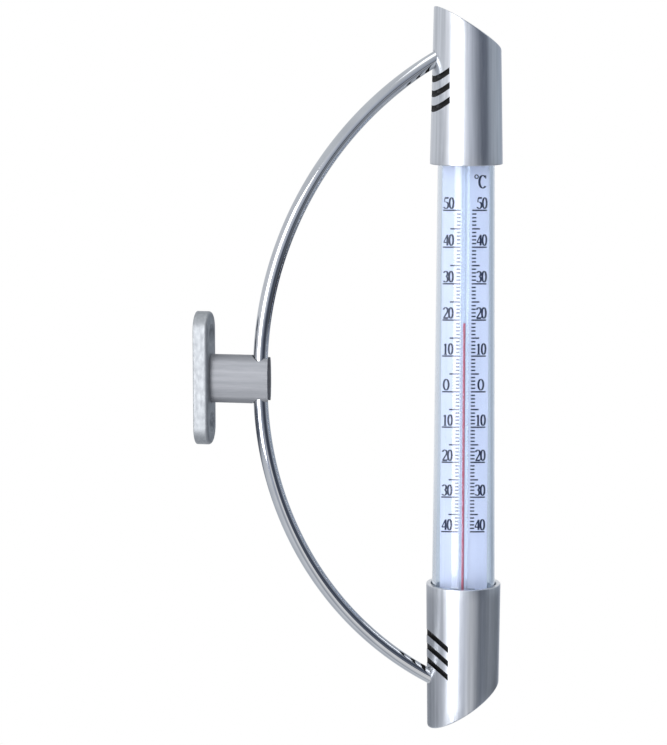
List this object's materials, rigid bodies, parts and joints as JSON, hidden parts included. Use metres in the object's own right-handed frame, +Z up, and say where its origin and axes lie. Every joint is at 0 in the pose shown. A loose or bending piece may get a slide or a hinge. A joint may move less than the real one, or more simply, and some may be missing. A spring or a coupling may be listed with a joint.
{
  "type": "outdoor thermometer",
  "caption": "Tube thermometer with metal end caps on a bent rod bow that snaps into a small wall bracket and swivels there; the scale tube turns in its caps.",
  "frame": {"origin": "centre of the wall plate's back face, midway between its two screw holes", "axes": "+X out of the wall, +Z up along the thermometer, +Y completes a right-handed frame"},
  "size_m": [0.1004, 0.0491, 0.25],
  "materials": {
    "plate": "satin cast metal",
    "arm": "satin",
    "screws": "plain steel",
    "bow": "bright",
    "caps": "fine brushed",
    "inserts": "matte",
    "gaskets": "soft matte",
    "clear_tube": "clear, polished",
    "white_plastic": "matte",
    "scale": "opal white, printed",
    "capillary": "clear",
    "clips": "spring steel",
    "spirit": "clear red liquid"
  },
  "bodies": {
    "wall_bracket": {"wall_plate": "plate", "clip_arm": "arm", "arm_screw": "screws"},
    "bow_frame": {"bow": "bow", "upper_cap": "caps", "lower_cap": "caps", "upper_insert": "inserts", "lower_insert": "inserts", "upper_bow_screw": "screws", "lower_bow_screw": "screws", "upper_gasket": "gaskets", "lower_gasket": "gaskets"},
    "scale_tube": {"outer_tube": "clear_tube", "tube_plug": "white_plastic", "strip_spacer": "white_plastic", "scale_plate": "scale", "stem": "capillary", "stem_clips": "clips", "bulb_spirit": "spirit", "spirit_column": "spirit"},
    "spirit_top": {"spirit_top": "spirit"}
  },
  "joints": [
    {"name": "bow_swivel", "type": "hinge", "parent": "wall_bracket", "child": "bow_frame", "pos_m": [0.022, 0, 0], "axis": [0, 0, 1], "range_deg": [-114.5, 65.5]},
    {"name": "tube_turn", "type": "hinge", "parent": "bow_frame", "child": "scale_tube", "pos_m": [0.08752, 0.02986, 0], "axis": [0, 0, 1], "continuous": true},
    {"name": "spirit_rise", "type": "slide", "parent": "scale_tube", "child": "spirit_top", "axis": [0, 0, 1], "range_m": [-0.0728, 0.0384], "deforming": ["spirit_column"]}
  ]
}
